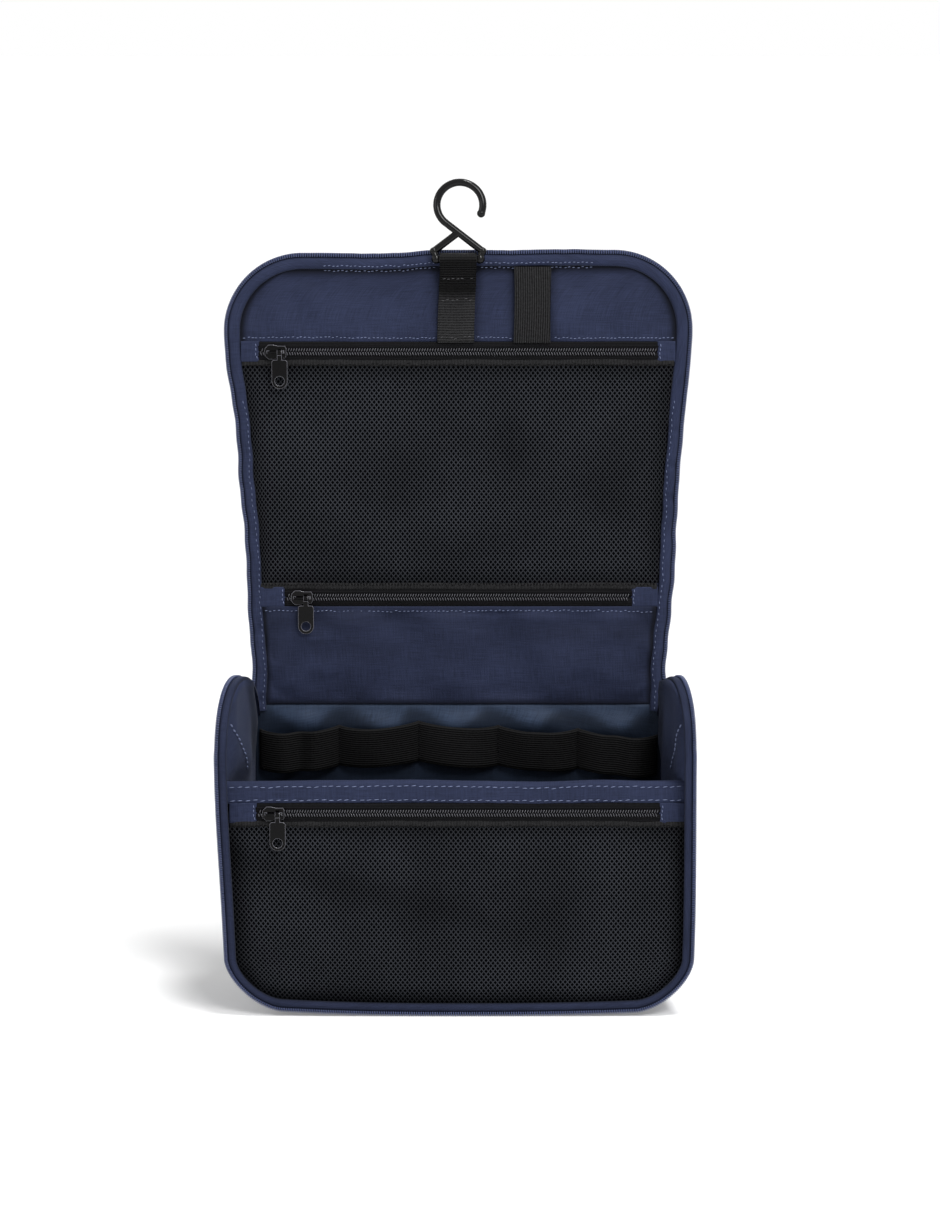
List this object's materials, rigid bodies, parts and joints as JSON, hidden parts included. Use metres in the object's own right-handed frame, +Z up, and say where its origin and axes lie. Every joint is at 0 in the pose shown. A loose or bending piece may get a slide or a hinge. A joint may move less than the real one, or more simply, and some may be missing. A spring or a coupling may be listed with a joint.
{
  "type": "hanging toiletry bag",
  "caption": "Open hanging toiletry bag: zip-round tub with elastic loops, wrap-over lid with zipped mesh pockets and a fold-away hook on webbing.",
  "frame": {"origin": "on the ground under the middle of the tub, on its base panel", "axes": "+Z up, +X to the right seen from the front, -Y to the front"},
  "size_m": [0.25, 0.078, 0.4386],
  "materials": {
    "navy_cloth": "navy woven polyester",
    "lining": "thin navy lining",
    "mesh": "black net",
    "black_band": "black webbing and elastic",
    "coil": "nylon zip coil",
    "black_gloss": "gloss black moulding",
    "black_metal": "black lacquered metal"
  },
  "bodies": {
    "tub": {"back_panel": "navy_cloth", "back_lining": "lining", "left_gusset": "navy_cloth", "right_gusset": "navy_cloth", "base_panel": "navy_cloth", "front_panel": "navy_cloth", "front_hem": "navy_cloth", "front_mesh": "mesh", "front_zip_tape": "black_band", "front_zip_coil": "coil", "front_zip_tabs": "navy_cloth", "elastic_loops": "black_band", "main_zip_tape": "navy_cloth", "main_zip_coil": "coil", "main_zip_tails": "coil", "left_main_slider": "black_metal", "right_main_slider": "black_metal"},
    "lid_lower": {"lid_lower_shell": "navy_cloth", "lid_lower_rim": "navy_cloth", "lid_lower_zip": "coil", "pocket_panel_lower": "navy_cloth"},
    "lid_middle": {"lid_middle_shell": "navy_cloth", "lid_middle_rim": "navy_cloth", "lid_middle_zip": "coil", "pocket_panel_upper": "navy_cloth", "lower_zip_tape": "black_band", "lower_zip_coil": "coil", "lower_zip_tabs": "navy_cloth", "lid_mesh_lower": "mesh"},
    "lid_upper": {"lid_upper_shell": "navy_cloth", "lid_upper_rim": "navy_cloth", "lid_upper_zip": "coil", "lid_mesh_upper": "mesh", "upper_zip_tape": "black_band", "upper_zip_coil": "coil", "upper_zip_tabs": "navy_cloth", "lid_top_panel": "navy_cloth", "hanger_webbing": "black_band", "elastic_strap": "black_band"},
    "hook_body": {"hook": "black_gloss"},
    "front_slider_body": {"front_slider": "black_metal"},
    "lower_slider_body": {"lower_slider": "black_metal"},
    "upper_slider_body": {"upper_slider": "black_metal"},
    "front_pull_body": {"front_pull": "black_metal"},
    "lower_pull_body": {"lower_pull": "black_metal"},
    "upper_pull_body": {"upper_pull": "black_metal"},
    "left_main_pull_body": {"left_main_pull": "black_metal"},
    "right_main_pull_body": {"right_main_pull": "black_metal"}
  },
  "joints": [
    {"name": "lid_fold", "type": "hinge", "parent": "tub", "child": "lid_lower", "pos_m": [0, 0.034, 0.151], "axis": [-1, 0, 0], "range_deg": [-31.08, 0]},
    {"name": "lid_bend_lower", "type": "hinge", "parent": "lid_lower", "child": "lid_middle", "pos_m": [0, 0.034, 0.19373], "axis": [-1, 0, 0], "range_deg": [-74.47, 0]},
    {"name": "lid_bend_upper", "type": "hinge", "parent": "lid_middle", "child": "lid_upper", "pos_m": [0, 0.034, 0.2492], "axis": [-1, 0, 0], "range_deg": [-74.47, 0]},
    {"name": "hook_swing", "type": "hinge", "parent": "lid_upper", "child": "hook_body", "pos_m": [0, 0.0273, 0.3967], "axis": [1, 0, 0], "range_deg": [-5, 155]},
    {"name": "front_zip_run", "type": "slide", "parent": "tub", "child": "front_slider_body", "axis": [1, 0, 0], "range_m": [0, 0.195]},
    {"name": "lower_zip_run", "type": "slide", "parent": "lid_middle", "child": "lower_slider_body", "axis": [1, 0, 0], "range_m": [0, 0.169]},
    {"name": "upper_zip_run", "type": "slide", "parent": "lid_upper", "child": "upper_slider_body", "axis": [1, 0, 0], "range_m": [0, 0.195]},
    {"name": "front_pull_swing", "type": "hinge", "parent": "front_slider_body", "child": "front_pull_body", "pos_m": [-0.0975, -0.03315, 0.1087], "axis": [-1, 0, 0], "range_deg": [0, 165]},
    {"name": "lower_pull_swing", "type": "hinge", "parent": "lower_slider_body", "child": "lower_pull_body", "pos_m": [-0.0845, 0.02785, 0.214], "axis": [-1, 0, 0], "range_deg": [0, 165]},
    {"name": "upper_pull_swing", "type": "hinge", "parent": "upper_slider_body", "child": "upper_pull_body", "pos_m": [-0.0975, 0.02785, 0.347], "axis": [-1, 0, 0], "range_deg": [0, 165]},
    {"name": "right_main_pull_swing", "type": "hinge", "parent": "tub", "child": "right_main_pull_body", "pos_m": [0.12029, 0.02505, 0.131], "axis": [0.1711, -0.9853, 0], "range_deg": [0, 165]},
    {"name": "left_main_pull_swing", "type": "hinge", "parent": "tub", "child": "left_main_pull_body", "pos_m": [-0.12029, 0.02505, 0.131], "axis": [0.1711, 0.9853, 0], "range_deg": [0, 165]}
  ],
  "couplings": [
    {"joint": "lid_bend_lower", "follows": "lid_fold", "ratio": 2.3962},
    {"joint": "lid_bend_upper", "follows": "lid_fold", "ratio": 2.3962}
  ]
}
